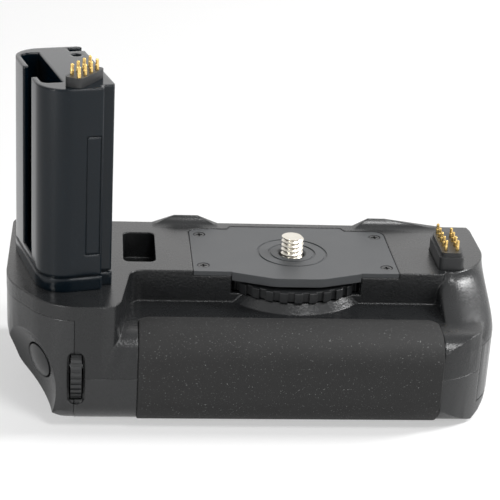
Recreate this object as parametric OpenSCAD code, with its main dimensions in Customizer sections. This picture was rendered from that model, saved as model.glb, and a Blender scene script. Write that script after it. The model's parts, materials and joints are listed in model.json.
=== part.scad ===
// Camera battery grip with a battery-chamber tower, an attaching screw and a slide-out cell holder.
// Frame: +X to the right and +Y away from the hand, +Z up. The origin is on the attaching screw's
// axis, in the base plane, at the mouth of the tripod socket.

/* [Body] */
// Height from the base to the top of the mounting plate
body_h = 36.5; // [36:0.5:42]
// Distance from the screw axis to the right end, at its widest
right_x = 56; // [55.5:0.1:62]
// How far the right end leans in from its widest point to the deck
right_lean = 0.2; // [0:0.1:2]
// Width of the shutter end cover, at the left end
end_w = 19; // [18:0.1:24]
// Wall between the battery bay and the shutter end cover
end_wall = 4.4; // [4.4:0.1:8]
// Distance from the screw axis back to the edge of the deck
deck_back = 21.4; // [21:0.2:24]
// How far the back swells out below the deck
back_swell = 3.4; // [2.6:0.1:5]
// Distance from the screw axis forward to the flat front wall
wall_front = 14.2; // [13:0.2:15]
// Distance from the screw axis forward to the front of the hand bulge
bulge_front = 39.2; // [38:0.2:44]
// Depth of the finger shelf below the deck
shelf_drop = 9.3; // [9:0.1:10.5]
// Radius over the top of the hand bulge
bulge_top_r = 7.2; // [5:0.2:9]
// Radius under the hand bulge
bulge_low_r = 10.5; // [9:0.2:12]
// Height of the parting line between the upper housing and the lower cover
parting_h = 15.5; // [15:0.1:16.5]
// Height of the rim band above the shutter end cover
rim_h = 4; // [3.5:0.1:4.5]
// Height of the raised lip at the back of the deck
lip_rise = 2.4; // [1:0.1:4]

/* [Mounting plate] */
// Width of the plate
plate_w = 57.8; // [56.6:0.2:60]
// Thickness of the plate
plate_t = 1.5; // [1.2:0.1:2]
// Distance from the screw axis to the straight back edge of the plate
plate_back = 18.9; // [18.5:0.1:19.5]
// Width of the curved lip over the thumbwheel
guard_w = 36.4; // [34:0.2:38]
// How far the curved lip bulges past the front wall
guard_bulge = 4.6; // [3:0.1:6]
// Depth of the curved lip
guard_h = 2.7; // [2.2:0.1:3]
// Distance of the plate screws from the centre line
plate_screw_x = 25.9; // [25.2:0.1:26.4]
// Diameter of a plate screw's head
plate_screw_d = 3.2; // [2.6:0.1:3.6]

/* [Attaching screw] */
// Outer diameter of the attaching screw and the tripod socket, a quarter inch
screw_d = 6.35; // [6:0.05:6.6]
// How far the attaching screw stands above the plate
screw_proud = 5; // [4:0.1:6]
// Radius of the thumbwheel
wheel_r = 21.3; // [20.5:0.1:21.8]
// Thickness of the thumbwheel's rim
wheel_t = 2.8; // [2.2:0.1:3]
// Number of teeth round the thumbwheel
wheel_teeth = 32; // [24:1:40]
// Diameter of the thumbwheel's hub
hub_d = 13; // [12:0.5:16]

/* [Tower] */
// Distance of the tower's middle from the left end
tower_in = 14.6; // [14.2:0.1:15]
// Place of the tower's middle, forward of the screw axis
tower_y = 10.5; // [10:0.1:11]
// Turn of the tower seen from above
tower_turn = 15.2; // [13:0.2:17]
// Width of the tower
tower_w = 19.6; // [19.2:0.1:20.4]
// Length of the tower
tower_l = 38.6; // [38:0.1:39.4]
// Height of the tower above the deck
tower_h = 56; // [48:0.5:64]
// Radius of the tower's two large corners
tower_r = 8; // [6:0.2:9]
// Wall between the guide channel and the outside
channel_wall = 1.4; // [1.2:0.1:1.8]
// Width of the guide channel
channel_w = 5.6; // [5.2:0.1:6]
// Depth of the guide channel below the tower's top
channel_depth = 50; // [36:0.5:50.5]
// Height of the collar at the tower's foot
collar_h = 3.8; // [2.6:0.1:5]

/* [Contacts] */
// Diameter of a contact pin
pin_d = 1; // [0.8:0.05:1.1]
// How far a contact pin stands out of its block
pin_proud = 3; // [2:0.1:4]
// Travel of the sprung contact pins
pin_travel = 1; // [0.5:0.1:1.2]
// Spacing of the pins along a row
pin_pitch = 3.15; // [2.9:0.05:3.3]
// Spacing of the two rows
pin_rows = 3.3; // [2.8:0.05:3.6]
// Height of the contact block on the tower
tower_block_h = 2.6; // [2:0.1:4]
// Height of the contact block on the deck
deck_block_h = 5; // [4:0.1:7]

/* [Rubber grip] */
// Distance of the rubber's left edge from the left bulge
rubber_gap = 5.4; // [4.8:0.1:8]
// Right edge of the rubber, from the screw axis
rubber_right = 38.4; // [34:0.1:38.6]
// Thickness of the rubber
rubber_t = 1.3; // [1:0.1:1.8]
// How far the rubber stands proud of the plastic
rubber_proud = 0.4; // [0.2:0.05:0.6]
// Distance from the screw axis to the rubber's upper edge
rubber_top = 25; // [24:0.2:28]

/* [Controls] */
// Diameter of the shutter button
shutter_d = 9.6; // [8.6:0.1:10.4]
// Travel of the shutter button
shutter_travel = 1.2; // [0.6:0.1:1.6]
// Radius of the finger dish round the shutter button
dish_r = 24; // [20:0.5:28]
// Radius of the front dial
front_dial_r = 9.5; // [8.5:0.1:9.8]
// Width of the front dial
front_dial_w = 2.9; // [2.5:0.1:3.1]
// Radius of the rear dial
rear_dial_r = 7.4; // [6.6:0.1:7.6]
// Width of the rear dial
rear_dial_w = 5; // [4:0.1:6]
// How far the dials stand out
dial_proud = 1; // [0.5:0.1:1.4]
// Ribs round each dial
dial_ribs = 34; // [24:1:44]
// Diameter of the dials' axles
axle_d = 2.4; // [2:0.1:2.8]
// Diameter of the rear button
rear_button_d = 6.4; // [5.4:0.1:7]
// Travel of the rear button
rear_travel = 0.9; // [0.5:0.1:1.2]

/* [Battery holder] */
// Diameter of a cell
cell_d = 14.5; // [13.5:0.1:14.6]
// Length of a cell with its button
cell_l = 50.5; // [48.5:0.1:50.6]
// Wall of the holder
holder_wall = 1.2; // [0.9:0.1:1.4]
// Thickness of the contact plates at the cells' ends
contact_t = 1.4; // [1:0.1:1.6]
// Running clearance round the holder
holder_gap = 0.3; // [0.2:0.05:0.4]
// Diameter of the latch knob
latch_d = 9; // [7:0.2:11]
// Thickness of the holder's end cap
cap_t = 6.4; // [6.2:0.1:10]

/* [Fasteners] */
// Diameter of the tripod socket's bush
bush_d = 14; // [12:0.5:18]
// Height of the tripod socket's bush
bush_h = 5.2; // [4.8:0.1:5.4]
// Diameter of the housing screws
case_screw_d = 2.4; // [2:0.1:2.6]

/* [Hidden] */
$fn = 64;
eps = 0.01;
seat = 0.02;        // clearance of a fixed pin in its hole
run_fit = 0.06;     // radial clearance of a turning or sliding pin
free_gap = 0.35;    // clearance round a moving piece
slip = 0.1;         // clearance of a fixed piece in its recess
end_play = 0.3;     // room past the end of a travel
far = 200;

rows = 3;
columns = 2;
row_pitch = cell_d + 0.7;
row_mid = -7;
cell_button_d = 5.4;
contact_d = 9;
holder_right = right_x - cap_t;
holder_l = columns * cell_l + 2 * contact_t + 2 * holder_wall;
holder_left = holder_right - holder_l;

end_seam = end_wall - holder_left; // seam of the shutter end cover, left of the screw axis
left_x = end_seam + end_w;
tower_x = left_x - tower_in;
bulge_side = end_seam - 11.5;      // right side of the left bulge, at the front
bulge_nook = end_seam - 14.8;      // and where it meets the front wall
rubber_left = bulge_side - rubber_gap;
pocket_x = bulge_nook - 2.6;       // storage pocket for the loose cap

plate_z = body_h - plate_t;
shelf_z = body_h - shelf_drop;
rim_z = body_h - rim_h;
loft_steps = 10;
valley_r = 6;                      // hollow between the left bulge and the rubber
valley_t = 1.6;
valley_x = [1, -5];                // from the bulge's side to the hollow's top and foot
valley_fall = 17;                  // its axis runs down by this
valley_out = 0.4;                  // until it stands this far clear of the front
back_y = deck_back + back_swell;
lip_left = [-39.5, -33, -26, -20]; // along X: where a raised lip starts, is full, and ends
lip_right = [20.5, 25, 30, 48];
lip_w = 4.4;                       // depth of the raised lip, and the radius of its hollow face
swell_h = 6;                       // height over which the back swells
left_round = 21;                   // length of the left end's rounding along the front
left_flat = [12.5, 17.8];          // slanted face of the left end, across and along
left_r = [20, 16];                 // radii at the two ends of that face
nook_r = 4;                        // hollow between the hand bulge and the front wall
deck_right_r = 18;                 // right front corner, at the deck
low_right_r = 23.5;                // and lower down
back_r = 6;                        // the two back corners
low_end_r = 11;                    // radius under the right end
rubber_under = 1.5;                // the rubber ends this far before the flat base
rubber_r = 3.5;                    // upper corners of the rubber
pillar_x = right_x - 10.5;         // where the right-hand corner pillar starts
pillar_foot = shelf_z - 4.7;       // height at which the right end is full
pillar_r = 3.5;                    // rounding of the pillar's inner side
bulge_end = pillar_x + 5;          // right end of the hand bulge
bulge_end_r = 12;
left_tuck = 18;                    // how far the left end draws in at the base
left_knee = [4, 12];               // a place on its slope, in from the end and up
left_full = 22;                    // height where the left end is widest
left_end_r = [4, 8, 10];
ledge_t = 1;                       // overlap where two forms join
ledge_flare = 2;                   // the ledge under the thumbwheel spreads by this at its foot
ledge_in = 0.7;                    // and its top stays inside the teeth by this

wheel_gap = 0.85;                  // between the lip and the thumbwheel
wheel_top = body_h - guard_h - wheel_gap;
wheel_low = wheel_top - wheel_t;
tooth_h = 0.9;
tooth_gap = 0.45 * 2 * PI * wheel_r / wheel_teeth;
wheel_rim = 3.5;                   // radial width of the wheel's rim
web_drop = 0.8;                    // the web is thinner than the rim by this on each face
cavity_r = wheel_r + 0.6;
wheel_wall = 0.6;                  // the slot for the wheel reaches this far behind the lip
cavity_low = wheel_low - free_gap;
journal_d = hub_d - 2;
journal_h = 2.4;
washer_t = 0.5;
hub_top = plate_z - washer_t - free_gap;
screw_foot = cavity_low - journal_h;
thread_depth = 0.6;                // the plain neck below the thread is thinner by this
thread_start = 0.2;                // the thread starts this far above the plate
thread_end = 0.7;                  // chamfer at the tip

plate_step = 2.1;                  // the tab at the plate's back stands out by this
plate_tab = [17.5, 16.4];          // half width of the tab, at its root and its edge
plate_r = 3;
plate_screw_sunk = 0.9;            // depth of the plate screws' seats
plate_screw_low = 0.1;             // their heads lie this far below the plate's top
plate_screw_l = 5;
guard_end = 0.4;                   // depth of the lip's ends
guard_flat = 6.5;                  // half width of the lip's straight middle
guard_r = 10;
screw_hole_d = screw_d + 0.6;
groove_ds = [12.8, 19.5];          // two ring grooves round the screw
groove_w = 0.5;
groove_h = 0.25;
screw_rows = [[-1, 12.7], [1, 12.7], [-1, -9.9], [1, -9.9]];

pocket_w = 9.2;
pocket_front = 8.5;
pocket_back = 13;
pocket_r = 2;
pocket_floor = body_h - 8;
pocket_lip = 3.4;                  // depth of the pocket's shallow front
pocket_slope = 9;                  // length of the slope down to its floor
pocket_slope_r = 6;

block_x = right_x - 11.7;            // contact block on the deck
tower_block_p = [2.6, -13.2, 0];   // on the tower, from its middle
tower_block_turn = 45;
tower_pins = [4, 4];               // pins in each row
deck_pins = [4, 5];
row_shift = -1.45;                 // the rows are staggered by this
tower_pitch = pin_pitch - 0.15;    // the tower's pins stand a little closer
tower_rows = pin_rows - 0.35;
block_edge = 1;                    // from a row of pins to the block's edge
block_r = 1.3;
tower_block_half = [
    (tower_pins[0] - 1) / 2 * tower_pitch - row_shift / 2 + block_edge,
    tower_rows / 2 + block_edge];
tier_h = 1.4;                      // the deck block's upper tier, and how far it is set in
tier_in = 0.5;
pin_tip = 0.5;
pin_root = 1.8;                    // the tower's pins reach this far into its shell
block_y = -2.8;
block_w = 7.1;
block_l = 16.4;
board_t = 1.4;
board_z = body_h - 6;
board_w = 14;
board_l = 17;
board_gap = 0.1;

switch_w = 5;
switch_h = 2;
axle_hold = 2;                     // each end of an axle sits this deep in the casing
rib_h = 0.45;
dial_recess_w = 0.8;               // width of the shallow recess on each side of the front dial
dial_recess_h = 1.2;
dial_recess_l = 5.6;               // and half the distance between its round ends
dial_z = parting_h;
front_dial_y = -bulge_front - dial_proud + front_dial_r;
front_dial_x = -end_seam + 0.5;
rear_dial_y = back_y + dial_proud - rear_dial_r;
rear_dial_x = -end_seam - 5.2;
rear_button_x = -left_x + 9;
rear_button_z = rim_z - 7.1;
rear_dial_z = rear_button_z - rear_dial_r - switch_w / 2 - 0.9;
rear_seat = 1.6;                   // depth of the rear button below the casing's face
rear_proud = rear_travel + 0.4;    // how far the rear button stands out
rear_stem_d = 2;
rear_stem_h = 1.2;

shutter_p = [-left_x + 8.7, -bulge_front + 10.4, parting_h];  // top of the shutter button
shutter_yaw = 213.5;               // it faces left, forward and a little down
shutter_pitch = 101.4;
shutter_cap_h = 2.4;
shutter_dome = 1.5 * shutter_d;
dish_depth = 1.5;                    // the dish lies this deep below the button's top
shutter_stem_d = 3.2;
shutter_stem_h = 1.6;

holder_half = (rows - 1) / 2 * row_pitch + cell_d / 2 + holder_wall - 0.4;
holder_low = bush_h + 0.6 + holder_gap;
cell_z = holder_low + holder_wall + cell_d / 2;
holder_top = cell_z + cell_d / 2 - 1;
bay_top = cell_z + cell_d / 2 + holder_gap;
cap_half = holder_half + 0.5;
cap_low = holder_low - 0.6;
cap_top = bay_top + 0.6;
cap_gap = 0.15;
latch_y = -10;
latch_z = 16.5;
latch_h = 2.6;
latch_rib = [5.6, 2];
latch_proud = 0.6;

case_back = back_y - 6.2;
case_screws = [[1.9 - end_seam, 8], [1.9 - end_seam, -12], [-30, case_back], [10, case_back],
               [holder_right - 6.6, case_back]];
case_screw_reach = 8;              // how far they enter the upper housing
case_head_d = 1.5 * case_screw_d;
case_head_z = 1;
case_head_h = 1.5;

tower_screw_p = [tower_w / 2 - 3.2, tower_l / 2 - 8.3, 0];
tower_screw_d = 1.6;
tower_head_d = 2.6;
screw_sunk = 1.6;                  // the tower screw's head lies this deep
step_w = 3.4;                      // step down the tower's front right edge
step_l = 2.4;
edge_r = 0.7;
channel_in = 6.6;                  // the guide channel's distance from the tower's front
channel_out = 4.2;                 // and from its back
channel_r = [2, 3];
channel_mouth_y = 7;               // the opening starts this far before the tower's middle
channel_mouth = 10;                // width of the channel's opening in the wall
cover_w = 4.4;
cover_t = 1.4;
cover_low = 6;                     // from the shell's foot to the front cover
cover_high = 13;                   // from the front cover to the tower's top
notch_w = 4.2;                     // notch in the top back edge
notch_l = 3.2;
notch_h = 6;
collar_proud = 0.15;
neck_in = 0.5;
neck_h = 0.5;                      // dark gap between the collar and the tower's shell
shell_foot = body_h + collar_h + neck_h;
tower_top = body_h + tower_h;

// Outlines with rounded corners: each point is [x, y, radius]

function unit(v) = v / norm(v);

function corner(a, p, b) =
    let (d1 = unit([a[0] - p[0], a[1] - p[1]]),
         d2 = unit([b[0] - p[0], b[1] - p[1]]),
         half = acos(max(-1, min(1, d1 * d2))) / 2,
         c = [p[0], p[1]] + unit(d1 + d2) * p[2] / sin(half),
         s = [p[0], p[1]] + d1 * p[2] / tan(half),
         e = [p[0], p[1]] + d2 * p[2] / tan(half),
         a0 = atan2(s[1] - c[1], s[0] - c[0]),
         a1 = atan2(e[1] - c[1], e[0] - c[0]),
         turn = a1 - a0 > 180 ? a1 - a0 - 360 : a1 - a0 < -180 ? a1 - a0 + 360 : a1 - a0,
         steps = max(2, ceil(abs(turn) / 9)))
    p[2] == 0 ? [[p[0], p[1]]]
              : [for (i = [0 : steps]) c + p[2] * [cos(a0 + turn * i / steps), sin(a0 + turn * i / steps)]];

function rounded(pts) =
    let (n = len(pts))
    [for (i = [0 : n - 1]) each corner(pts[(i + n - 1) % n], pts[i], pts[(i + 1) % n])];

// Placing helpers

module along_x() rotate([90, 0, 90]) children();

module in_tower() translate([-tower_x, -tower_y, 0]) rotate(tower_turn) children();

module at_shutter() translate(shutter_p) rotate([0, shutter_pitch, shutter_yaw]) children();

module box(lo, hi) translate(lo) cube(hi - lo);

module cross_slot(d) for (a = [0, 90]) rotate(a) cube([0.56 * d, 0.13 * d, 0.3 * d], center = true);

module side_prism(pts) translate([-far, 0, 0]) along_x() linear_extrude(2 * far) polygon(rounded(pts));

module end_prism(pts) translate([0, far, 0]) rotate([90, 0, 0]) linear_extrude(2 * far) polygon(rounded(pts));

// The body's outer form, which all the casing pieces are cut from

module deck_outline() polygon(rounded([
    [-bulge_nook, -wall_front, nook_r],
    [pillar_x - pillar_r, -wall_front, 1.4],
    [pillar_x, back_y, 0],
    [-left_x, back_y, back_r],
    [-left_x, -bulge_front + left_flat[1], left_r[0]],
    [-left_x + left_flat[0], -bulge_front, left_r[1]],
    [-bulge_side, -bulge_front, nook_r + 1.5]]));

module low_outline() polygon(rounded([
    [left_round - left_x, -bulge_front, 0],
    [right_x, -bulge_front, low_right_r],
    [right_x, back_y, back_r],
    [left_round - left_x, back_y, 0]]));

module hand_outline() intersection() {
    low_outline();
    polygon(rounded([
        [left_round - left_x, -bulge_front, 0],
        [bulge_end, -bulge_front, bulge_end_r],
        [bulge_end, back_y, 0],
        [left_round - left_x, back_y, 0]]));
}

module bulge_prism(t) side_prism([
    [far, shelf_z + t, 0],
    [-bulge_front - t, shelf_z + t, bulge_top_r + t],
    [-bulge_front - t, -t, bulge_low_r + t],
    [far, -t, 0]]);

module left_prism() side_prism([
    [far, body_h, 0],
    [-bulge_front, body_h, 0],
    [-bulge_front, 0, bulge_low_r],
    [far, 0, 0]]);

module back_prism() side_prism([
    [-far, 0, 0],
    [back_y, 0, 8],
    [back_y, body_h - swell_h, 4],
    [deck_back, body_h, 0],
    [-far, body_h, 0]]);

module ends_prism() end_prism([
    [right_x, body_h, 0],
    [right_x, 0, low_end_r],
    [-left_x + left_tuck, 0, left_end_r[0]],
    [-left_x + left_knee[0], left_knee[1], left_end_r[1]],
    [-left_x, left_full, left_end_r[2]],
    [-left_x, body_h, 0]]);

// The right end is a loft: its sections swell from the deck's corner to the hand bulge's corner

function mix(a, b, t) = a + (b - a) * t;

function arc_points(c, r, a0, a1, n, first = 0) = [
    for (i = [first : n])
        let (a = mix(a0, a1, i / n))
        c + r * [cos(a), sin(a)]];

function end_section(t) =
    let (right = mix(right_x - right_lean, right_x, t),
         r = mix(deck_right_r, low_right_r, t),
         c = [right - r, r - mix(wall_front, bulge_front, t)],
         a = -acos((pillar_x - c[0]) / r),
         inner = c + (r - pillar_r) * [cos(a), sin(a)])
    [each arc_points(inner, pillar_r, 180, 360 + a, 6),
     each arc_points(c, r, a, 0, 12, 1),
     each arc_points([right - back_r, back_y - back_r], back_r, 0, 90, 4),
     [bulge_end - bulge_end_r, back_y]];

module end_loft(steps) {
    sections = [for (k = [0 : steps])
        let (s = k / steps, z = mix(body_h, pillar_foot, s))
        [for (p = end_section(s * s * (3 - 2 * s))) [p[0], p[1], z]]];
    n = len(sections[0]);
    polyhedron(
        points = [for (section = sections) each section],
        faces = [[for (i = [n - 1 : -1 : 0]) i],
                 for (k = [0 : steps - 1]) for (i = [0 : n - 1])
                     [k * n + i, k * n + (i + 1) % n, (k + 1) * n + (i + 1) % n],
                 for (k = [0 : steps - 1]) for (i = [0 : n - 1])
                     [k * n + i, (k + 1) * n + (i + 1) % n, (k + 1) * n + i],
                 [for (i = [0 : n - 1]) steps * n + i]]);
}

module waist_valley() {
    top = [-bulge_side + valley_x[0], -bulge_front - valley_r + valley_t, shelf_z];
    foot = [-bulge_side + valley_x[1], -bulge_front - valley_r - valley_out, shelf_z - valley_fall];
    d = foot - top;
    translate(top - d)
        rotate([0, acos(d[2] / norm(d)), atan2(d[1], d[0])])
            cylinder(r = valley_r, h = 3 * norm(d));
}

module body_block() intersection() {
    union() {
        translate([0, 0, shelf_z - ledge_t]) linear_extrude(body_h - shelf_z + ledge_t) deck_outline();
        intersection() {
            union() {
                linear_extrude(pillar_foot) low_outline();
                linear_extrude(shelf_z) hand_outline();
            }
            bulge_prism(0);
        }
        intersection() {
            linear_extrude(body_h) intersection() {
                deck_outline();
                translate([-far - bulge_nook + nook_r, -far / 2]) square([far, far]);
            }
            left_prism();
        }
        end_loft(loft_steps);
    }
    ends_prism();
    back_prism();
}

module body_form() difference() {
    body_block();
    waist_valley();
}

// Shared cuts and fittings

module plate_outline(gap) {
    half = plate_w / 2 + gap;
    shoulder = plate_back - plate_step + gap;
    polygon(rounded([
        [-half, -wall_front - gap, 0],
        [half, -wall_front - gap, 0],
        [half, shoulder, plate_r],
        [plate_tab[0] + gap, shoulder, 0],
        [plate_tab[1] + gap, plate_back + gap, 0],
        [-plate_tab[1] - gap, plate_back + gap, 0],
        [-plate_tab[0] - gap, shoulder, 0],
        [-half, shoulder, plate_r]]));
}

module guard_outline(gap) {
    half = guard_w / 2 + gap;
    polygon(rounded([
        [-half, ledge_t - wall_front, 0],
        [-half, -wall_front - guard_end, 0],
        [-guard_flat, -wall_front - guard_bulge, guard_r],
        [guard_flat, -wall_front - guard_bulge, guard_r],
        [half, -wall_front - guard_end, 0],
        [half, ledge_t - wall_front, 0]]));
}

module at_plate_screws()
    for (s = screw_rows) translate([s[0] * plate_screw_x, s[1], 0]) children();

module at_case_screws() for (p = case_screws) translate([p[0], p[1], 0]) children();

module holder_zone(gap)
    box([holder_left - gap, row_mid - holder_half - gap, holder_low - gap],
        [holder_right + eps, row_mid + holder_half + gap, bay_top]);

module cap_zone(gap)
    box([holder_right - gap, row_mid - cap_half - gap, cap_low - gap],
        [far, row_mid + cap_half + gap, cap_top + gap]);

module bay_cut() {
    holder_zone(holder_gap);
    cap_zone(cap_gap);
}

module rubber_zone(gap) {
    translate([0, 0, parting_h]) linear_extrude(far) polygon(rounded([
        [-rubber_left - gap, -far, 0],
        [rubber_right + gap, -far, 0],
        [rubber_right + gap, -rubber_top + gap, rubber_r + gap],
        [-rubber_left - gap, -rubber_top + gap, rubber_r + gap]]));
    box([-rubber_left - gap, -far, 0],
        [rubber_right + gap, -bulge_front + bulge_low_r - rubber_under + gap, far]);
}

module rubber_recess() difference() {
    rubber_zone(slip);
    bulge_prism(rubber_proud - rubber_t);
}

module front_dial_place() translate([front_dial_x, front_dial_y, dial_z]) rotate([0, 90, 0]) children();

module rear_dial_place() translate([rear_dial_x, rear_dial_y, rear_dial_z]) rotate([0, 90, 0]) children();

module dial_pocket(r, w) cylinder(r = r + free_gap, h = w + 2 * end_play, center = true);

module dial_recess() {
    half = front_dial_w / 2 + dial_recess_w;
    translate([0, -bulge_front, 0]) rotate([90, 0, 0])
        linear_extrude(2 * dial_recess_h, center = true) hull() {
            for (z = [dial_z - dial_recess_l, dial_z + dial_recess_l])
                translate([front_dial_x, z]) circle(half, $fn = 32);
        }
}

module front_dial_cut() {
    front_dial_place() dial_pocket(front_dial_r, front_dial_w);
    front_dial_place()
        cylinder(d = axle_d + 2 * seat, h = front_dial_w + 2 * axle_hold + 4 * slip, center = true);
    dial_recess();
}

// Casing pieces

module rear_lip(xs) translate([0, deck_back, 0]) rotate([90, 0, 0]) linear_extrude(lip_w)
    polygon([[xs[0], body_h - ledge_t],
             each [for (i = [0 : 3]) [xs[i], body_h + (i == 1 || i == 2 ? lip_rise : 0)]],
             [xs[3], body_h - ledge_t]]);

module rear_lips() difference() {
    union() {
        rear_lip(lip_left);
        rear_lip(lip_right);
    }
    translate([-far, deck_back - lip_w, body_h + lip_w]) rotate([0, 90, 0])
        cylinder(r = lip_w - eps, h = 2 * far);
}

module wheel_ledge() intersection() {
    h = cavity_low - shelf_z + ledge_t;
    translate([0, 0, shelf_z - ledge_t])
        cylinder(r1 = wheel_r + ledge_flare, r2 = wheel_r - ledge_in, h = h, $fn = 128);
    box([-guard_w / 2, -far, 0], [guard_w / 2, ledge_t - wall_front, far]);
}

module wheel_cavity() {
    translate([0, 0, cavity_low]) cylinder(r = cavity_r, h = wheel_top + free_gap - cavity_low, $fn = 128);
    intersection() {
        translate([0, 0, cavity_low]) cylinder(r = cavity_r, h = far, $fn = 128);
        box([-far, -far, 0], [far, plate_back - plate_step - end_play, plate_z + eps]);
    }
    box([-guard_w / 2 - slip, -far, cavity_low],
        [guard_w / 2 + slip, ledge_t + wheel_wall - wall_front, far]);
    translate([0, 0, cavity_low - journal_h - end_play]) cylinder(d = journal_d + 2 * run_fit, h = far);
}

module cap_pocket() {
    x0 = -pocket_x - pocket_w / 2;
    x1 = -pocket_x + pocket_w / 2;
    intersection() {
        translate([0, 0, pocket_floor]) linear_extrude(far) polygon(rounded([
            [x0, -pocket_front, pocket_r],
            [x1, -pocket_front, pocket_r],
            [x1, pocket_back, pocket_r],
            [x0, pocket_back, pocket_r]]));
        side_prism([[pocket_back, pocket_floor, 0],
                    [pocket_back, far, 0],
                    [-pocket_front, far, 0],
                    [-pocket_front, body_h - pocket_lip, 0],
                    [-pocket_front + pocket_slope, pocket_floor, pocket_slope_r]]);
    }
}

module upper_housing() color("#2a2b2e") difference() {
    union() {
        intersection() {
            body_form();
            union() {
                box([-end_seam, -far, parting_h], [far, far, far]);
                box([-far, -far, rim_z], [far, far, far]);
            }
        }
        rear_lips();
        wheel_ledge();
    }
    translate([0, 0, plate_z]) linear_extrude(far) plate_outline(slip);
    wheel_cavity();
    cap_pocket();
    bay_cut();
    rubber_recess();
    front_dial_cut();
    translate([block_x, block_y, board_z + board_t]) linear_extrude(far) block_outline(board_gap);
    board_zone(board_gap);
    at_plate_screws() translate([0, 0, plate_z - plate_screw_l])
        cylinder(d = plate_screw_d / 2 + 2 * seat, h = far);
    at_case_screws() cylinder(d = case_screw_d + 2 * seat, h = parting_h + case_screw_reach);
    in_tower() translate(tower_screw_p) translate([0, 0, body_h - 2])
        cylinder(d = tower_screw_d + 2 * seat, h = far);
}

module lower_cover() color("#303135") difference() {
    intersection() {
        body_form();
        box([-end_seam, -far, 0], [far, far, parting_h]);
    }
    bay_cut();
    rubber_recess();
    front_dial_cut();
    translate([0, 0, -eps]) cylinder(d = bush_d + 2 * seat, h = bush_h + eps);
    at_case_screws() {
        translate([0, 0, -eps]) cylinder(d = case_screw_d + 0.3, h = far);
        translate([0, 0, -eps]) cylinder(d = case_head_d + 0.2, h = case_head_z + case_head_h);
    }
}

module shutter_end_cover() color("#2d2e32") difference() {
    intersection() {
        body_block();
        box([-far, -far, 0], [-end_seam, far, rim_z]);
    }
    at_shutter() {
        translate([0, 0, dish_r - dish_depth]) sphere(dish_r, $fn = 96);
        translate([0, 0, -shutter_cap_h - shutter_travel - end_play])
            cylinder(d = shutter_d + 2 * free_gap, h = far);
        translate([0, 0, -shutter_cap_h - shutter_stem_h - shutter_travel - end_play])
            cylinder(d = shutter_stem_d + 2 * run_fit, h = far);
        switch_zone(slip);
    }
    front_dial_cut();
    rear_dial_place() {
        dial_pocket(rear_dial_r, rear_dial_w);
        cylinder(d = axle_d + 2 * seat, h = rear_dial_w + 2 * axle_hold + 4 * slip, center = true);
    }
    translate([rear_button_x, back_y, rear_button_z]) rotate([90, 0, 0]) {
        translate([0, 0, -eps])
            cylinder(d = rear_button_d + 2 * free_gap, h = rear_seat + rear_travel + end_play);
        cylinder(d = rear_stem_d + 2 * run_fit, h = rear_seat + rear_stem_h + rear_travel + end_play);
        rear_switch_zone(slip);
    }
}

// Mounting plate and its screws

module mounting_plate() color("#4a4b4e") difference() {
    union() {
        translate([0, 0, plate_z]) linear_extrude(plate_t) plate_outline(0);
        translate([0, 0, body_h - guard_h]) linear_extrude(guard_h) guard_outline(0);
    }
    translate([0, 0, plate_z - 1]) cylinder(d = screw_hole_d, h = 5);
    translate([0, 0, body_h - 0.6]) cylinder(d1 = screw_hole_d, d2 = screw_hole_d + 1.3, h = 0.6 + eps);
    for (d = groove_ds) translate([0, 0, body_h - groove_h]) difference() {
        cylinder(d = d + groove_w, h = 1);
        translate([0, 0, -1]) cylinder(d = d - groove_w, h = 3);
    }
    at_plate_screws() {
        translate([0, 0, body_h - plate_screw_sunk]) cylinder(d = plate_screw_d + 0.1, h = 2);
        translate([0, 0, plate_z - 1]) cylinder(d = plate_screw_d / 2 + 0.3, h = 5);
    }
}

module plate_screws() color("#1c1c1e") at_plate_screws() difference() {
    union() {
        translate([0, 0, body_h - plate_screw_sunk])
            cylinder(d = plate_screw_d, h = plate_screw_sunk - plate_screw_low);
        translate([0, 0, plate_z - plate_screw_l + 0.5])
            cylinder(d = plate_screw_d / 2, h = plate_screw_l + 0.3);
    }
    translate([0, 0, body_h - plate_screw_low]) cross_slot(plate_screw_d);
}

// Thumbwheel and attaching screw

module attach_wheel() color("#26272a") difference() {
    union() {
        translate([0, 0, wheel_low]) linear_extrude(wheel_t) difference() {
            circle(wheel_r, $fn = 160);
            for (i = [0 : wheel_teeth - 1]) rotate((i + 0.5) * 360 / wheel_teeth)
                translate([wheel_r - tooth_h, -tooth_gap / 2]) square([2 * tooth_h, tooth_gap]);
        }
        translate([0, 0, screw_foot]) cylinder(d = journal_d, h = wheel_low - screw_foot + eps);
        translate([0, 0, wheel_low]) cylinder(d = hub_d, h = hub_top - wheel_low);
    }
    for (z = [wheel_low - wheel_t, wheel_top - web_drop]) translate([0, 0, z]) difference() {
        cylinder(r = wheel_r - wheel_rim, h = wheel_t + web_drop);
        translate([0, 0, -wheel_t]) cylinder(d = hub_d + 0.4, h = 4 * wheel_t);
    }
    translate([0, 0, -far]) cylinder(d = screw_d + 2 * seat, h = 2 * far);
}

module attach_screw() color("#b9b7b0") {
    translate([0, 0, screw_foot]) cylinder(d = screw_d, h = hub_top - screw_foot);
    translate([0, 0, screw_foot])
        cylinder(d = screw_d - 2 * thread_depth, h = body_h + thread_start - screw_foot + eps);
    translate([0, 0, body_h + thread_start])
        cylinder(d = screw_d, h = screw_proud - thread_start - thread_end);
    translate([0, 0, body_h + screw_proud - thread_end])
        cylinder(d1 = screw_d, d2 = screw_d - 2 * thread_end, h = thread_end);
}

module wheel_washer() color("#8c8c8c") translate([0, 0, plate_z - washer_t]) difference() {
    cylinder(d = hub_d, h = washer_t);
    translate([0, 0, -1]) cylinder(d = screw_hole_d + 0.2, h = 3);
}

// Tower that fills the camera's battery chamber

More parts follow.
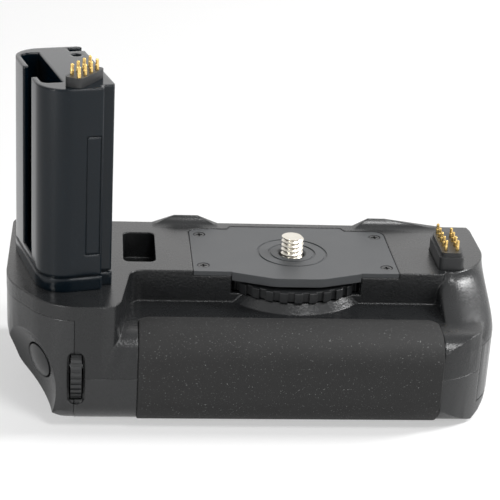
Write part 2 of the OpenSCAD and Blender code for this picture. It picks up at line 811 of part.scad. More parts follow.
module tower_outline(grow) {
    u = tower_w / 2 + grow;
    v = tower_l / 2 + grow;
    polygon(rounded([
        [-u, -v, tower_r + grow],
        [u - step_w, -v, edge_r],
        [u - step_w, -v + step_l, 0],
        [u, -v + step_l, edge_r],
        [u, v, 2 * edge_r],
        [-u, v, tower_r + grow]]));
}

module tower_channel() {
    u0 = -tower_w / 2 + channel_wall;
    v0 = -tower_l / 2 + channel_in;
    v1 = tower_l / 2 - channel_out;
    translate([0, 0, tower_top - channel_depth]) linear_extrude(far) {
        polygon(rounded([
            [u0, v0, channel_r[0]],
            [u0 + channel_w, v0, 0],
            [u0 + channel_w, v1, 0],
            [u0, v1, channel_r[1]]]));
        translate([-tower_w, -channel_mouth_y]) square([tower_w + u0 + 1, channel_mouth]);
    }
}

module tower_cover_zone(gap)
    box([tower_w / 2 - step_w - cover_w - gap, -tower_l / 2 - 1, shell_foot + cover_low - gap],
        [tower_w / 2 - step_w - edge_r + gap, -tower_l / 2 + cover_t + gap, tower_top - cover_high + gap]);

module tower_shell() color("#1d1e20") in_tower() difference() {
    translate([0, 0, shell_foot]) linear_extrude(tower_top - shell_foot) tower_outline(0);
    tower_channel();
    tower_cover_zone(0.05);
    box([tower_w / 2 - notch_w, tower_l / 2 - 2 * edge_r - notch_l, tower_top - notch_h],
        [tower_w, tower_l / 2 - 2 * edge_r, far]);
    translate(tower_screw_p) cylinder(d = tower_screw_d + 2 * seat, h = far);
    translate(tower_screw_p) translate([0, 0, tower_top - screw_sunk])
        cylinder(d = tower_head_d + 0.2, h = far);
    at_tower_pins() translate([0, 0, tower_top - pin_root - pin_travel - end_play])
        cylinder(d = pin_d + 2 * run_fit, h = far);
}

module tower_cover() color("#232427") in_tower() intersection() {
    translate([0, 0, shell_foot]) linear_extrude(tower_top - shell_foot) tower_outline(0);
    tower_cover_zone(0);
}

module tower_collar() color("#28292c") in_tower() difference() {
    union() {
        translate([0, 0, body_h]) linear_extrude(collar_h) tower_outline(collar_proud);
        translate([0, 0, body_h]) linear_extrude(collar_h + neck_h) tower_outline(-neck_in);
    }
    translate(tower_screw_p) cylinder(d = tower_screw_d + 2 * seat, h = far);
}

module tower_screw() color("#3a3a3c") in_tower() translate(tower_screw_p) difference() {
    union() {
        translate([0, 0, tower_top - screw_sunk]) cylinder(d = tower_head_d, h = 1);
        translate([0, 0, body_h - 1.5]) cylinder(d = tower_screw_d, h = tower_h);
    }
    translate([0, 0, tower_top - screw_sunk + 1]) cross_slot(tower_head_d);
}

// Contact blocks and their sprung pins

module pin_grid(counts, shift, pitch, rows)
    for (row = [0, 1]) for (i = [0 : counts[row] - 1])
        translate([(i - (counts[row] - 1) / 2) * pitch + (row - 0.5) * shift, (0.5 - row) * rows, 0])
            children();

module at_tower_block() translate(tower_block_p) rotate(tower_block_turn) children();

module at_tower_pins() at_tower_block() pin_grid(tower_pins, row_shift, tower_pitch, tower_rows) children();

module tower_contact_block() color("#161618") in_tower() difference() {
    translate([0, 0, tower_top]) at_tower_block() linear_extrude(tower_block_h) polygon(rounded(
        [for (s = [[-1, -1], [1, -1], [1, 1], [-1, 1]])
            [s[0] * tower_block_half[0], s[1] * tower_block_half[1], block_r]]));
    at_tower_pins() cylinder(d = pin_d + 2 * run_fit, h = far);
}

module tower_contact_pins() color("#c9a24a") in_tower() at_tower_pins() {
    translate([0, 0, tower_top - pin_root])
        cylinder(d = pin_d, h = pin_root + tower_block_h + pin_proud - pin_tip);
    translate([0, 0, tower_top + tower_block_h + pin_proud - pin_tip])
        cylinder(d1 = pin_d, d2 = pin_d / 2, h = pin_tip);
}

module block_outline(gap) polygon(rounded([
    [-block_w / 2 - gap, -block_l / 2 - gap, block_r],
    [block_w / 2 + gap, -block_l / 2 - gap, block_r],
    [block_w / 2 + gap, block_l / 2 + gap, block_r],
    [-block_w / 2 - gap, block_l / 2 + gap, block_r]]));

module at_deck_pins() translate([block_x, block_y, 0]) rotate(-90)
    pin_grid(deck_pins, row_shift, pin_pitch, pin_rows) children();

module deck_contact_block() color("#1b1c1e") difference() {
    translate([block_x, block_y, 0]) {
        translate([0, 0, board_z + board_t])
            linear_extrude(body_h + deck_block_h - tier_h - board_z - board_t) block_outline(0);
        translate([0, 0, body_h + deck_block_h - tier_h]) linear_extrude(tier_h) block_outline(-tier_in);
    }
    at_deck_pins() translate([0, 0, body_h - pin_travel - end_play])
        cylinder(d = pin_d + 2 * run_fit, h = far);
}

module deck_contact_pins() color("#c9a24a") at_deck_pins() {
    translate([0, 0, body_h]) cylinder(d = pin_d, h = deck_block_h + pin_proud - pin_tip);
    translate([0, 0, body_h + deck_block_h + pin_proud - pin_tip])
        cylinder(d1 = pin_d, d2 = pin_d / 2, h = pin_tip);
}

module board_zone(gap)
    box([block_x - board_w / 2 - gap, block_y - board_l / 2 - gap, board_z],
        [block_x + board_w / 2 + gap, block_y + board_l / 2 + gap, board_z + board_t]);

module circuit_board() color("#2f5d3a") board_zone(0);

// Rubber grip

module rubber_grip() color("#37383b") difference() {
    intersection() {
        rubber_zone(0);
        bulge_prism(rubber_proud);
    }
    bulge_prism(rubber_proud - rubber_t);
}

// Buttons and dials

module switch_zone(gap)
    translate([0, 0, -shutter_cap_h - shutter_stem_h - shutter_travel - switch_h - end_play])
        box([-switch_w / 2 - gap, -switch_w / 2 - gap, -gap],
            [switch_w / 2 + gap, switch_w / 2 + gap, switch_h]);

module shutter_button() color("#202124") at_shutter() {
    intersection() {
        translate([0, 0, -shutter_cap_h]) cylinder(d = shutter_d, h = shutter_cap_h);
        translate([0, 0, -shutter_dome]) sphere(shutter_dome, $fn = 96);
    }
    translate([0, 0, -shutter_cap_h - shutter_stem_h]) cylinder(d = shutter_stem_d, h = shutter_stem_h + 0.5);
}

module shutter_switch() color("#77787c") at_shutter() switch_zone(0);

module ribbed_dial(r, w) difference() {
    translate([0, 0, -w / 2]) linear_extrude(w) difference() {
        circle(r, $fn = 128);
        for (i = [0 : dial_ribs - 1]) rotate(i * 360 / dial_ribs)
            translate([r - rib_h, -r * PI / dial_ribs / 2]) square([2, r * PI / dial_ribs]);
    }
    cylinder(d = axle_d + 2 * run_fit, h = 4 * w, center = true);
}

module front_dial() color("#242528") front_dial_place() ribbed_dial(front_dial_r, front_dial_w);

module front_dial_axle() color("#a0a2a6") front_dial_place()
    cylinder(d = axle_d, h = front_dial_w + 2 * axle_hold, center = true);

module rear_dial() color("#242528") rear_dial_place() ribbed_dial(rear_dial_r, rear_dial_w);

module rear_dial_axle() color("#a0a2a6") rear_dial_place()
    cylinder(d = axle_d, h = rear_dial_w + 2 * axle_hold, center = true);

module rear_switch_zone(gap) translate([0, 0, rear_seat + rear_stem_h + rear_travel + end_play])
    box([-switch_w / 2 - gap, -switch_w / 2 - gap, 0],
        [switch_w / 2 + gap, switch_w / 2 + gap, switch_h + gap]);

module rear_button() color("#242528") translate([rear_button_x, back_y, rear_button_z]) rotate([90, 0, 0]) {
    translate([0, 0, -rear_proud]) cylinder(d = rear_button_d, h = rear_seat + rear_proud);
    cylinder(d = rear_stem_d, h = rear_seat + rear_stem_h);
}

module rear_switch() color("#77787c") translate([rear_button_x, back_y, rear_button_z]) rotate([90, 0, 0])
    rear_switch_zone(0);

// Slide-out battery holder

module at_cell_rows() for (i = [0 : rows - 1])
    translate([0, row_mid + (i - (rows - 1) / 2) * row_pitch, cell_z]) children();

module battery_holder() color("#33353a") difference() {
    box([holder_left, row_mid - holder_half, holder_low], [holder_right, row_mid + holder_half, holder_top]);
    at_cell_rows() translate([holder_left + holder_wall, 0, 0]) {
        rotate([0, 90, 0]) cylinder(d = cell_d + 0.1, h = holder_l - 2 * holder_wall);
        translate([0, -cell_d / 2 + 0.6, 0]) cube([holder_l - 2 * holder_wall, cell_d - 1.2, far]);
    }
}

module holder_cap() color("#34353a") difference() {
    intersection() {
        body_block();
        cap_zone(0);
    }
    translate([right_x - latch_h - end_play, latch_y, latch_z]) rotate([0, 90, 0])
        cylinder(d = latch_d + 2 * run_fit, h = far);
}

module holder_latch() color("#3c3d42") translate([right_x - latch_h, latch_y, latch_z]) rotate([0, 90, 0]) {
    cylinder(d = latch_d, h = latch_h - end_play);
    box([-latch_rib[0] / 2, -latch_rib[1] / 2, 0],
        [latch_rib[0] / 2, latch_rib[1] / 2, latch_h + latch_proud]);
}

module battery_cells() color("#8a8f98") at_cell_rows() for (k = [0 : columns - 1])
    translate([holder_left + holder_wall + contact_t + k * cell_l, 0, 0]) rotate([0, 90, 0]) {
        cylinder(d = cell_d, h = cell_l - 1);
        cylinder(d = cell_button_d, h = cell_l - 0.1);
    }

module cell_contacts() color("#c8c9cc") at_cell_rows()
    for (x = [holder_left + holder_wall, holder_right - holder_wall - contact_t])
        translate([x, 0, 0]) rotate([0, 90, 0]) cylinder(d = contact_d, h = contact_t);

// Tripod socket and housing screws

module tripod_socket() color("#b5b3ad") difference() {
    cylinder(d = bush_d, h = bush_h);
    translate([0, 0, -eps]) cylinder(d = screw_d, h = bush_h - 0.6 + eps);
}

module housing_screws() color("#1c1c1e") at_case_screws() difference() {
    union() {
        translate([0, 0, case_head_z]) cylinder(d = case_head_d, h = case_head_h);
        translate([0, 0, case_head_z])
            cylinder(d = case_screw_d, h = parting_h + case_screw_reach - case_head_z - 0.5);
    }
    translate([0, 0, case_head_z]) cross_slot(case_head_d);
}

upper_housing();
lower_cover();
shutter_end_cover();
mounting_plate();
plate_screws();
attach_wheel();
attach_screw();
wheel_washer();
tower_shell();
tower_cover();
tower_collar();
tower_screw();
tower_contact_block();
tower_contact_pins();
deck_contact_block();
deck_contact_pins();
circuit_board();
rubber_grip();
shutter_button();
shutter_switch();
front_dial();
front_dial_axle();
rear_dial();
rear_dial_axle();
rear_button();
rear_switch();
battery_holder();
holder_cap();
holder_latch();
battery_cells();
cell_contacts();
tripod_socket();
housing_screws();
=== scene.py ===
# Camera battery grip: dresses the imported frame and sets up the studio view.
import json
import math

import bpy
from mathutils import Matrix, Vector


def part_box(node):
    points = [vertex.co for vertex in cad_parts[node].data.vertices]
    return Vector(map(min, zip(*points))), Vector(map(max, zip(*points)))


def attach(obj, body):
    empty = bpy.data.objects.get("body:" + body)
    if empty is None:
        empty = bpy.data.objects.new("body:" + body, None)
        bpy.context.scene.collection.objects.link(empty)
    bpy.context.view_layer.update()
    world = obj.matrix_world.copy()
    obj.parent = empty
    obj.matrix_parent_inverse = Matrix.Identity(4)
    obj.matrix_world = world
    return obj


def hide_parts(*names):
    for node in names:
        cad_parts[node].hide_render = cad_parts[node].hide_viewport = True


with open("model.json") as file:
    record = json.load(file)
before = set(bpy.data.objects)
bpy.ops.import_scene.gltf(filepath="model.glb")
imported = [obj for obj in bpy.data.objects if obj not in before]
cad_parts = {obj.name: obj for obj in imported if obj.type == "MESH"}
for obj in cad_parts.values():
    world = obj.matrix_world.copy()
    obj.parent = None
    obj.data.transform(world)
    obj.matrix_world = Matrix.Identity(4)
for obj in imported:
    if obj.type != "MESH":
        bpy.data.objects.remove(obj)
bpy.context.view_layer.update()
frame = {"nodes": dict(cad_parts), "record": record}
nodes = frame["nodes"]
record = frame["record"]
bodies = record["behaviour"]["bodies"]
bodyOf = {node: body for body, members in bodies.items() for node in members}
slotOf = {part["node"]: part["material_slot"] for part in record["subparts"]}
mm = 0.001
print("frame loaded with", len(nodes), "nodes")


# camera, fitted to the photograph; angles in degrees
view = {"elevation": 22.74, "turn": -5.99, "roll": 3.27, "distance": 458.2 * mm,
        "right": -11.96 * mm, "up": 0.66 * mm, "target": (0, 0, 36.5 * mm),
        "lens": 115.27, "sensor": 36, "near": 10 * mm}


def addCamera():
    elevation, turn, roll = (math.radians(view[key]) for key in ("elevation", "turn", "roll"))
    level = math.cos(elevation)
    back = Vector((math.sin(turn) * level, -math.cos(turn) * level, math.sin(elevation)))
    flat = Vector((math.cos(turn), math.sin(turn), 0))
    rise = back.cross(flat)
    right = flat * math.cos(roll) + rise * math.sin(roll)
    up = rise * math.cos(roll) - flat * math.sin(roll)
    place = Vector(view["target"]) + back * view["distance"]
    place = place + right * view["right"] + up * view["up"]
    camera = bpy.data.objects.new("studioCamera", bpy.data.cameras.new("studioCamera"))
    camera.data.lens = view["lens"]
    camera.data.sensor_width = view["sensor"]
    camera.data.clip_start = view["near"]
    facing = Matrix((right, up, back)).transposed()
    camera.matrix_world = Matrix.Translation(place) @ facing.to_4x4()
    bpy.context.collection.objects.link(camera)
    bpy.context.scene.camera = camera


addCamera()
print("camera placed")


def grey(level, cool=0.0):
    return (level * (1 - cool), level, level * (1 + cool), 1)


# an output socket that can be used in plain sums
class Wire:
    def __init__(self, finish, socket):
        self.finish = finish
        self.socket = socket

    def math(self, operation, left, right):
        return self.finish.add("Math", {"operation": operation}, [left, right])

    def __add__(self, other):
        return self.math("ADD", self, other)

    def __radd__(self, other):
        return self.math("ADD", other, self)

    def __sub__(self, other):
        return self.math("SUBTRACT", self, other)

    def __mul__(self, other):
        return self.math("MULTIPLY", self, other)


# the node tree of one material or world
class Finish:
    def __init__(self, owner, shader="Principled BSDF", **fixed):
        owner.use_nodes = True
        self.tree = owner.node_tree
        self.shader = self.tree.nodes[shader]
        self.place = self.add("TexCoord", {}, {}, "Object")
        for socket, value in fixed.items():
            self.shader.inputs[socket.replace("_", " ")].default_value = value

    def add(self, kind, settings, sockets, output=0):
        node = self.tree.nodes.new("ShaderNode" + kind)
        for key, value in settings.items():
            if key == "stops":
                for element, (position, level) in zip(node.color_ramp.elements, value):
                    element.position = position
                    element.color = grey(level)
            else:
                setattr(node, key, value)
        entries = sockets.items() if isinstance(sockets, dict) else enumerate(sockets)
        for key, value in entries:
            if isinstance(value, Wire):
                self.tree.links.new(value.socket, node.inputs[key])
            else:
                node.inputs[key].default_value = value
        return Wire(self, node.outputs[output])

    def feed(self, socket, wire):
        self.tree.links.new(wire.socket, self.shader.inputs[socket])

    def noise(self, size, detail, rough=0.55, stretch=None):
        where = self.place
        if stretch:
            where = self.add("Mapping", {}, {"Vector": self.place, "Scale": stretch})
        sockets = {"Vector": where, "Scale": 1 / size, "Detail": detail, "Roughness": rough}
        return self.add("TexNoise", {}, sockets)

    # cells with crisp edges, or softened ones where smooth is given
    def cells(self, size, smooth=None):
        sockets = {"Vector": self.place, "Scale": 1 / size}
        if smooth is None:
            return self.add("TexVoronoi", {"feature": "F1"}, sockets)
        return self.add("TexVoronoi", {"feature": "SMOOTH_F1"}, {**sockets, "Smoothness": smooth})

    def ramp(self, wire, stops):
        return self.add("ValToRGB", {"stops": stops}, [wire])

    # 1 for the rays that show the background: to the camera, in gloss and through glass
    def shown(self):
        camera = self.add("LightPath", {}, {}, "Is Camera Ray")
        gloss = self.add("LightPath", {}, {}, "Is Glossy Ray")
        through = self.add("LightPath", {}, {}, "Is Transmission Ray")
        return camera + gloss + through

    # inputs 6 and 7 and output 2 are the colour ones of the Mix node
    def blend(self, mask, first, second):
        return self.add("Mix", {"data_type": "RGBA"}, {0: mask, 6: first, 7: second}, 2)

    def bump(self, height, depth, normal=None):
        sockets = {"Height": height, "Distance": depth, "Strength": 1.0}
        if normal:
            sockets["Normal"] = normal
        return self.add("Bump", {}, sockets, "Normal")

    def roundEdge(self, radius):
        return self.add("Bevel", {"samples": 6}, {"Radius": radius})


# what the moulded plastics share, where one of them doesn't set its own
plasticBase = {"shine": 0.5, "cool": 0.06, "shades": (0.85, 1.15), "softness": 0.6, "patches": 0.12,
               "speckSize": 0.35, "speckHeight": 0.5, "speckRough": 0.08,
               "dust": 0.0, "dustTone": 0.12, "dustSize": 0.45 * mm, "dustRough": 0.7,
               "dustStops": ((0.66, 0.0), (0.78, 1.0)), "deckStops": ((0.2, 1.0), (0.4, 0.25))}


# moulded plastic: grain, faint cloudiness, dust and edges that catch the light
def mouldedPlastic(own):
    made = {**plasticBase, **own}
    material = bpy.data.materials.new(made["name"])
    finish = Finish(material, Specular_IOR_Level=made["shine"])
    cloud = finish.noise(made["cloud"], 4)
    grain = finish.cells(made["grain"], made["softness"])
    speck = finish.noise(made["grain"] * made["speckSize"], 2)
    dust = finish.ramp(finish.noise(made["dustSize"], 4, made["dustRough"]), made["dustStops"])
    dark, light = (grey(made["tone"] * shade, made["cool"]) for shade in made["shades"])
    base = finish.blend(cloud, dark, light)
    finish.feed("Base Color", finish.blend(dust * made["dust"], base, grey(made["dustTone"])))
    uneven = (cloud - 0.5) * made["patches"]
    finish.feed("Roughness", made["rough"] + uneven + (speck - 0.5) * made["speckRough"])
    height = grain + speck * made["speckHeight"]
    if "deck" in made:
        # the grain grows shallower on the way up to the deck, within its last 0.3 mm
        level = finish.add("SeparateXYZ", {}, [finish.place], "Z")
        above = (level - made["deck"]) * (1 / mm)
        height = height * finish.ramp(above + 0.5, made["deckStops"])
    finish.feed("Normal", finish.bump(height, made["depth"], finish.roundEdge(made["edge"])))
    return material


plastics = {
    "housing_black": {"name": "grainedHousing", "tone": 0.011, "cloud": 9 * mm, "grain": 0.55 * mm,
                      "depth": 0.045 * mm, "rough": 0.27, "edge": 0.7 * mm, "dust": 0.3,
                      "deck": 36.5 * mm, "shine": 0.42},
    "cover_black": {"name": "satinCover", "tone": 0.013, "cloud": 12 * mm, "grain": 0.45 * mm,
                    "depth": 0.02 * mm, "rough": 0.28, "edge": 0.7 * mm, "dust": 0.3},
    "wheel_black": {"name": "thumbwheelPlastic", "tone": 0.012, "cloud": 6 * mm, "grain": 0.35 * mm,
                    "depth": 0.012 * mm, "rough": 0.38, "edge": 0.3 * mm},
    "tower_gloss": {"name": "glossTower", "tone": 0.004, "cool": 0.9, "cloud": 14 * mm,
                    "grain": 0.8 * mm, "depth": 0.006 * mm, "rough": 0.16, "edge": 1.0 * mm,
                    "dust": 0.6, "shine": 0.26},
    "contact_black": {"name": "contactPlastic", "tone": 0.012, "cloud": 5 * mm, "grain": 0.3 * mm,
                      "depth": 0.01 * mm, "rough": 0.45, "edge": 0.2 * mm},
    "button_black": {"name": "buttonPlastic", "tone": 0.012, "cloud": 6 * mm, "grain": 0.3 * mm,
                     "depth": 0.008 * mm, "rough": 0.30, "edge": 0.4 * mm},
    "dial_black": {"name": "dialRubber", "tone": 0.014, "cloud": 4 * mm, "grain": 0.25 * mm,
                   "depth": 0.01 * mm, "rough": 0.52, "edge": 0.15 * mm},
    "holder_grey": {"name": "holderPlastic", "tone": 0.05, "cloud": 10 * mm, "grain": 0.4 * mm,
                    "depth": 0.012 * mm, "rough": 0.48, "edge": 0.3 * mm},
    "switch_grey": {"name": "switchPlastic", "tone": 0.23, "cloud": 3 * mm, "grain": 0.3 * mm,
                    "depth": 0.01 * mm, "rough": 0.5, "edge": 0.2 * mm},
    "plate_black": {"name": "paintedPlate", "tone": 0.050, "cloud": 7 * mm, "grain": 0.22 * mm,
                    "depth": 0.02 * mm, "rough": 0.46, "edge": 0.25 * mm},
    "screw_black": {"name": "blackOxide", "tone": 0.012, "cloud": 1.5 * mm, "grain": 0.2 * mm,
                    "depth": 0.008 * mm, "rough": 0.36, "edge": 0.12 * mm},
}


metalBase = {"brushRough": 0.6, "cloud": 3 * mm}


# bare metal, faintly brushed
def plainMetal(made):
    material = bpy.data.materials.new(made["name"])
    finish = Finish(material, Metallic=1.0)
    brush = finish.noise(made["brush"], 4, metalBase["brushRough"], made.get("along"))
    cloud = finish.noise(metalBase["cloud"], 3)
    finish.feed("Base Color", finish.blend(cloud, made["dark"], made["light"]))
    finish.feed("Roughness", made["rough"] + (brush - 0.5) * made["spread"])
    finish.feed("Normal", finish.bump(brush, made["depth"], finish.roundEdge(made["edge"])))
    return material


metals = {
    "nickel_steel": {"name": "nickelSteel", "dark": (0.52, 0.49, 0.43, 1), "light": (0.66, 0.63, 0.57, 1),
                     "brush": 0.4 * mm, "rough": 0.30, "spread": 0.16, "depth": 0.006 * mm,
                     "edge": 0.12 * mm},
    "spring_steel": {"name": "springSteel", "dark": (0.50, 0.51, 0.53, 1), "light": (0.62, 0.63, 0.65, 1),
                     "brush": 0.3 * mm, "rough": 0.32, "spread": 0.15, "depth": 0.005 * mm,
                     "edge": 0.1 * mm},
    "gold": {"name": "goldPlate", "dark": (0.66, 0.44, 0.14, 1), "light": (0.82, 0.60, 0.24, 1),
             "brush": 0.3 * mm, "rough": 0.26, "spread": 0.12, "depth": 0.003 * mm,
             "edge": 0.1 * mm},
    "cell_steel": {"name": "cellJacket", "dark": (0.30, 0.32, 0.36, 1), "light": (0.38, 0.40, 0.44, 1),
                   "brush": 0.5 * mm, "along": (0.1, 1, 1), "rough": 0.36, "spread": 0.16,
                   "depth": 0.004 * mm, "edge": 0.3 * mm},
}


# rubber: matt, with a fine tooth and pale dust held in it
def gripRubber():
    made = {"name": "speckledRubber", "dark": grey(0.023), "light": grey(0.030), "shine": 0.2,
            "cloud": 8 * mm, "tooth": 0.3 * mm, "toothRough": 0.7, "depth": 0.07 * mm,
            "dust": grey(0.34), "dustSize": 0.5 * mm, "dustRough": 0.75,
            "dustStops": ((0.62, 0.0), (0.68, 1.0)), "rough": 0.66, "spread": 0.2, "edge": 0.5 * mm}
    material = bpy.data.materials.new(made["name"])
    finish = Finish(material, Specular_IOR_Level=made["shine"])
    cloud = finish.noise(made["cloud"], 5)
    tooth = finish.noise(made["tooth"], 2, made["toothRough"])
    dust = finish.ramp(finish.noise(made["dustSize"], 6, made["dustRough"]), made["dustStops"])
    base = finish.blend(cloud, made["dark"], made["light"])
    finish.feed("Base Color", finish.blend(dust, base, made["dust"]))
    finish.feed("Roughness", made["rough"] + (tooth - 0.5) * made["spread"])
    finish.feed("Normal", finish.bump(tooth, made["depth"], finish.roundEdge(made["edge"])))
    return material


# circuit board: green lacquer over raised tracks
def lacqueredBoard():
    made = {"name": "lacqueredBoard", "coat": 0.4, "tracks": 1.6 * mm, "stops": ((0.45, 0.0), (0.5, 1.0)),
            "dark": (0.01, 0.07, 0.02, 1), "light": (0.02, 0.12, 0.04, 1), "rough": 0.35,
            "spread": 0.1, "depth": 0.03 * mm}
    material = bpy.data.materials.new(made["name"])
    finish = Finish(material, Coat_Weight=made["coat"])
    tracks = finish.ramp(finish.cells(made["tracks"]), made["stops"])
    finish.feed("Base Color", finish.blend(tracks, made["dark"], made["light"]))
    finish.feed("Roughness", made["rough"] + tracks * made["spread"])
    finish.feed("Normal", finish.bump(tracks, made["depth"]))
    return material


finishes = {slot: mouldedPlastic(made) for slot, made in plastics.items()}
finishes.update({slot: plainMetal(made) for slot, made in metals.items()})
finishes["grip_rubber"] = gripRubber()
finishes["board_green"] = lacqueredBoard()
print("finishes made:", len(finishes))


# modelling helpers
def deselect():
    if bpy.context.object and bpy.context.object.mode != "OBJECT":
        bpy.ops.object.mode_set(mode="OBJECT")
    bpy.ops.object.select_all(action="DESELECT")


def pick(piece):
    deselect()
    piece.select_set(True)
    bpy.context.view_layer.objects.active = piece


def editAll(piece):
    pick(piece)
    bpy.ops.object.mode_set(mode="EDIT")
    bpy.ops.mesh.select_all(action="SELECT")


def applyModifiers(piece):
    pick(piece)
    for modifier in list(piece.modifiers):
        bpy.ops.object.modifier_apply(modifier=modifier.name)


def copyOf(node, name):
    piece = bpy.data.objects.new(name, nodes[node].data.copy())
    bpy.context.collection.objects.link(piece)
    return piece


def smoothShade(piece, degrees):
    pick(piece)
    bpy.ops.object.shade_smooth_by_angle(angle=math.radians(degrees))


def dress(piece, node):
    piece.data.materials.clear()
    piece.data.materials.append(finishes[slotOf[node]])
    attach(piece, bodyOf[node])
    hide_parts(node)


# how copies are welded, eased and shaded; angles in degrees
easing = {"weld": 2e-6, "flat": 0.4, "sharp": 40, "segments": 2, "smooth": 32}


# a smooth copy of a node; a seam draws its faces in, an edge rounds its corners
def smoothCopy(node, made):
    piece = copyOf(node, made["name"])
    editAll(piece)
    bpy.ops.mesh.customdata_custom_splitnormals_clear()
    bpy.ops.mesh.remove_doubles(threshold=easing["weld"])
    if "seam" in made:
        bpy.ops.transform.shrink_fatten(value=-made["seam"])
    if "edge" in made:
        bpy.ops.mesh.dissolve_limited(angle_limit=math.radians(easing["flat"]))
    bpy.ops.object.mode_set(mode="OBJECT")
    if "edge" in made:
        bevel = piece.modifiers.new("easedEdge", "BEVEL")
        bevel.width = made["edge"]
        bevel.segments = easing["segments"]
        bevel.limit_method = "ANGLE"
        bevel.angle_limit = math.radians(easing["sharp"])
        bevel.use_clamp_overlap = False
        bevel.miter_outer = "MITER_ARC"
        applyModifiers(piece)
    smoothShade(piece, easing["smooth"])
    dress(piece, node)


shownCopies = {
    "upper_housing": {"name": "housingUpper"},
    "lower_cover": {"name": "housingLower"},
    "shutter_end_cover": {"name": "shutterEnd", "seam": 0.12 * mm},
    "mounting_plate": {"name": "mountingPlate", "seam": 0.14 * mm},
    "plate_screws": {"name": "plateScrews", "seam": 0.12 * mm},
    "attach_wheel": {"name": "thumbwheel"},
    "tower_shell": {"name": "towerShell"},
    "tower_cover": {"name": "towerCover", "seam": 0.06 * mm},
    "tower_collar": {"name": "towerCollar"},
    "tower_screw": {"name": "towerScrew"},
    "tower_contact_block": {"name": "towerContactBlock"},
    "deck_contact_block": {"name": "deckContactBlock"},
    "rubber_grip": {"name": "rubberGrip", "edge": 0.35 * mm},
    "shutter_button": {"name": "shutterButton"},
    "front_dial": {"name": "frontDial"},
    "rear_dial": {"name": "rearDial"},
    "rear_button": {"name": "rearButton"},
    "battery_holder": {"name": "batteryHolder"},
    "holder_cap": {"name": "holderCap", "seam": 0.06 * mm},
    "holder_latch": {"name": "holderLatch"},
    "battery_cells": {"name": "batteryCells"},
    "tripod_socket": {"name": "tripodSocket"},
    "housing_screws": {"name": "housingScrews"},
}
for node, made in shownCopies.items():
    smoothCopy(node, made)
print("smooth copies made:", len(shownCopies))


# attaching screw with a cut thread, over the whole length of the node
def attachScrew():
    made = {"name": "attachScrew", "major": 3.17 * mm, "minor": 2.62 * mm, "pitch": 1.27 * mm,
            "crest": 0.16 * mm, "steps": 40, "weld": 1e-6, "smooth": 24}
    low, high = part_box("attach_screw")
    pitch = made["pitch"]
    deselect()
    bpy.ops.mesh.primitive_plane_add(size=mm)
    thread = bpy.context.object
    editAll(thread)
    bpy.ops.mesh.delete(type="ONLY_FACE")
    bpy.ops.object.mode_set(mode="OBJECT")
    # the plane's four corners become one tooth of the thread, open towards the axis
    tooth = [(made["minor"], 0), (made["minor"], pitch),
             (made["major"], (pitch - made["crest"]) / 2), (made["major"], (pitch + made["crest"]) / 2)]
    for vertex, (radius, height) in zip(thread.data.vertices, tooth):
        vertex.co = (radius, 0, low[2] - pitch + height)
    bpy.ops.object.mode_set(mode="EDIT")
    bpy.ops.mesh.select_all(action="DESELECT")
    bpy.ops.mesh.select_mode(type="EDGE")
    bpy.ops.object.mode_set(mode="OBJECT")
    root = made["minor"] + made["weld"]
    for edge in thread.data.edges:
        edge.select = all(thread.data.vertices[corner].co.x < root for corner in edge.vertices)
    bpy.ops.object.mode_set(mode="EDIT")
    bpy.ops.mesh.delete(type="EDGE")
    bpy.ops.object.mode_set(mode="OBJECT")
    screw = thread.modifiers.new("thread", "SCREW")
    screw.screw_offset = pitch
    screw.iterations = math.ceil((high[2] - low[2]) / pitch) + 2
    screw.steps = made["steps"]
    screw.render_steps = made["steps"]
    screw.use_merge_vertices = True
    screw.merge_threshold = made["weld"]
    applyModifiers(thread)
    editAll(thread)
    bpy.ops.mesh.remove_doubles(threshold=made["weld"])
    # the spare turns are cut off flat at both ends of the node
    for height, clearUpper in ((low[2], False), (high[2], True)):
        bpy.ops.mesh.select_all(action="SELECT")
        bpy.ops.mesh.bisect(plane_co=(0, 0, height), plane_no=(0, 0, 1), use_fill=True,
                            clear_outer=clearUpper, clear_inner=not clearUpper)
    bpy.ops.mesh.select_all(action="SELECT")
    bpy.ops.mesh.normals_make_consistent(inside=False)
    bpy.ops.object.mode_set(mode="OBJECT")
    thread.name = made["name"]
    smoothShade(thread, made["smooth"])
    dress(thread, "attach_screw")


attachScrew()
print("attaching screw threaded")


# sprung pins: a barrel in the block, a shoulder and a thinner plunger with a round tip;
# foot is the lowest radius, and each stage above it is a drop from the pin's top and a radius
pinShape = {"sides": 24, "smooth": 38, "foot": 0.49 * mm,
            "stages": [(1.75 * mm, 0.49 * mm), (1.5 * mm, 0.43 * mm), (0.32 * mm, 0.43 * mm),
                       (0.1 * mm, 0.32 * mm), (0, 0.12 * mm)]}
pinPieces = {
    "tower_contact_pins": {"name": "towerContactPins", **pinShape},
    "deck_contact_pins": {"name": "deckContactPins", **pinShape},
}


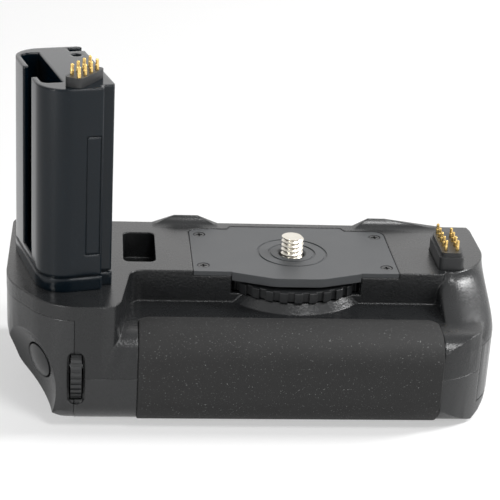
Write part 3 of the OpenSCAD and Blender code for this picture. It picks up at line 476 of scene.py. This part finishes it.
def contactPins(node, made):
    guide = copyOf(node, "pinGuide")
    editAll(guide)
    bpy.ops.mesh.remove_doubles(threshold=easing["weld"])
    bpy.ops.mesh.separate(type="LOOSE")
    bpy.ops.object.mode_set(mode="OBJECT")
    guides = sorted(bpy.context.selected_objects, key=lambda each: each.name)
    places = [[vertex.co.copy() for vertex in each.data.vertices] for each in guides]
    for each in guides:
        bpy.data.objects.remove(each)
    rounds = []
    for place in places:
        low, high = ([limit(axis) for axis in zip(*place)] for limit in (min, max))
        x, y = ((low[k] + high[k]) / 2 for k in (0, 1))
        rings = [(low[2], made["foot"])]
        rings += [(high[2] - drop, radius) for drop, radius in made["stages"]]
        for (foot, wide), (head, narrow) in zip(rings, rings[1:]):
            bpy.ops.mesh.primitive_cone_add(
                vertices=made["sides"], radius1=wide, radius2=narrow, depth=head - foot,
                location=(x, y, (foot + head) / 2))
            rounds.append(bpy.context.object)
    pick(rounds[0])
    for each in rounds:
        each.select_set(True)
    bpy.ops.object.join()
    pins = bpy.context.object
    bpy.ops.object.transform_apply(location=True, rotation=True, scale=True)
    pins.name = made["name"]
    smoothShade(pins, made["smooth"])
    dress(pins, node)


for node, made in pinPieces.items():
    contactPins(node, made)
print("contact pins turned")

# the nodes keep their shape and take their finish; those without a copy are shown so
for node, part in nodes.items():
    part.data.materials.clear()
    part.data.materials.append(finishes[slotOf[node]])


# studio: pale floor, soft light
studio = {"floor": 0.48, "mottle": 0.02, "mottleSize": 0.25, "rough": 0.5, "shine": 0.2,
          "reach": 6.0, "below": 0.2 * mm, "lift": 0.44, "world": 0.14}
lamps = [
    {"name": "keySoft", "size": (0.22, 0.22), "power": 4.2,
     "from": (0.25, -0.40, 0.90), "to": (0, 0, 0.03)},
    {"name": "backSoft", "size": (2.2, 0.8), "power": 2.4,
     "from": (0.10, 1.10, 0.50), "to": (0, 0, 0.04), "tint": (1.0, 0.97, 0.95)},
    {"name": "leftSoft", "size": (0.08, 0.08), "power": 1.5,
     "from": (-0.34, -0.32, 0.20), "to": (-0.34, -0.31, 0.0)},
    {"name": "rightSoft", "size": (0.24, 0.40), "power": 12.0,
     "from": (0.86, 0.10, 0.74), "to": (0.03, 0, 0.04)},
    {"name": "frontSoft", "size": (0.4, 0.4), "power": 2.4,
     "from": (0.60, -1.00, 0.28), "to": (0.03, 0, 0.04)},
]


def addFloor():
    deselect()
    bpy.ops.mesh.primitive_plane_add(size=studio["reach"], location=(0, 0, -studio["below"]))
    floor = bpy.context.object
    floor.name = "studioFloor"
    paper = bpy.data.materials.new("paleFloor")
    finish = Finish(paper, Roughness=studio["rough"], Specular_IOR_Level=studio["shine"],
                    Emission_Strength=studio["lift"])
    tone = finish.noise(studio["mottleSize"], 2)
    dark, light = grey(studio["floor"]), grey(studio["floor"] + studio["mottle"])
    finish.feed("Base Color", finish.blend(tone, dark, light))
    finish.feed("Emission Color", finish.blend(finish.shown(), grey(0.0), grey(1.0)))
    floor.data.materials.append(paper)


def addLamp(lamp):
    light = bpy.data.lights.new(lamp["name"], "AREA")
    light.shape = "RECTANGLE"
    light.size, light.size_y = lamp["size"]
    light.energy = lamp["power"]
    light.color = lamp.get("tint", (1, 1, 1))
    stand = bpy.data.objects.new(lamp["name"], light)
    stand.location = lamp["from"]
    aim = Vector(lamp["to"]) - Vector(lamp["from"])
    stand.rotation_euler = aim.to_track_quat("-Z", "Y").to_euler()
    bpy.context.collection.objects.link(stand)


# a dim world that the camera and reflections see as white
def addWorld():
    world = bpy.data.worlds.new("studioWorld")
    sky = Finish(world, "Background", Color=grey(1.0))
    sky.feed("Strength", studio["world"] + sky.shown() * (1 - studio["world"]))
    bpy.context.scene.world = world


addFloor()
for lamp in lamps:
    addLamp(lamp)
addWorld()
bpy.context.scene.view_settings.view_transform = "Standard"
print("studio set")
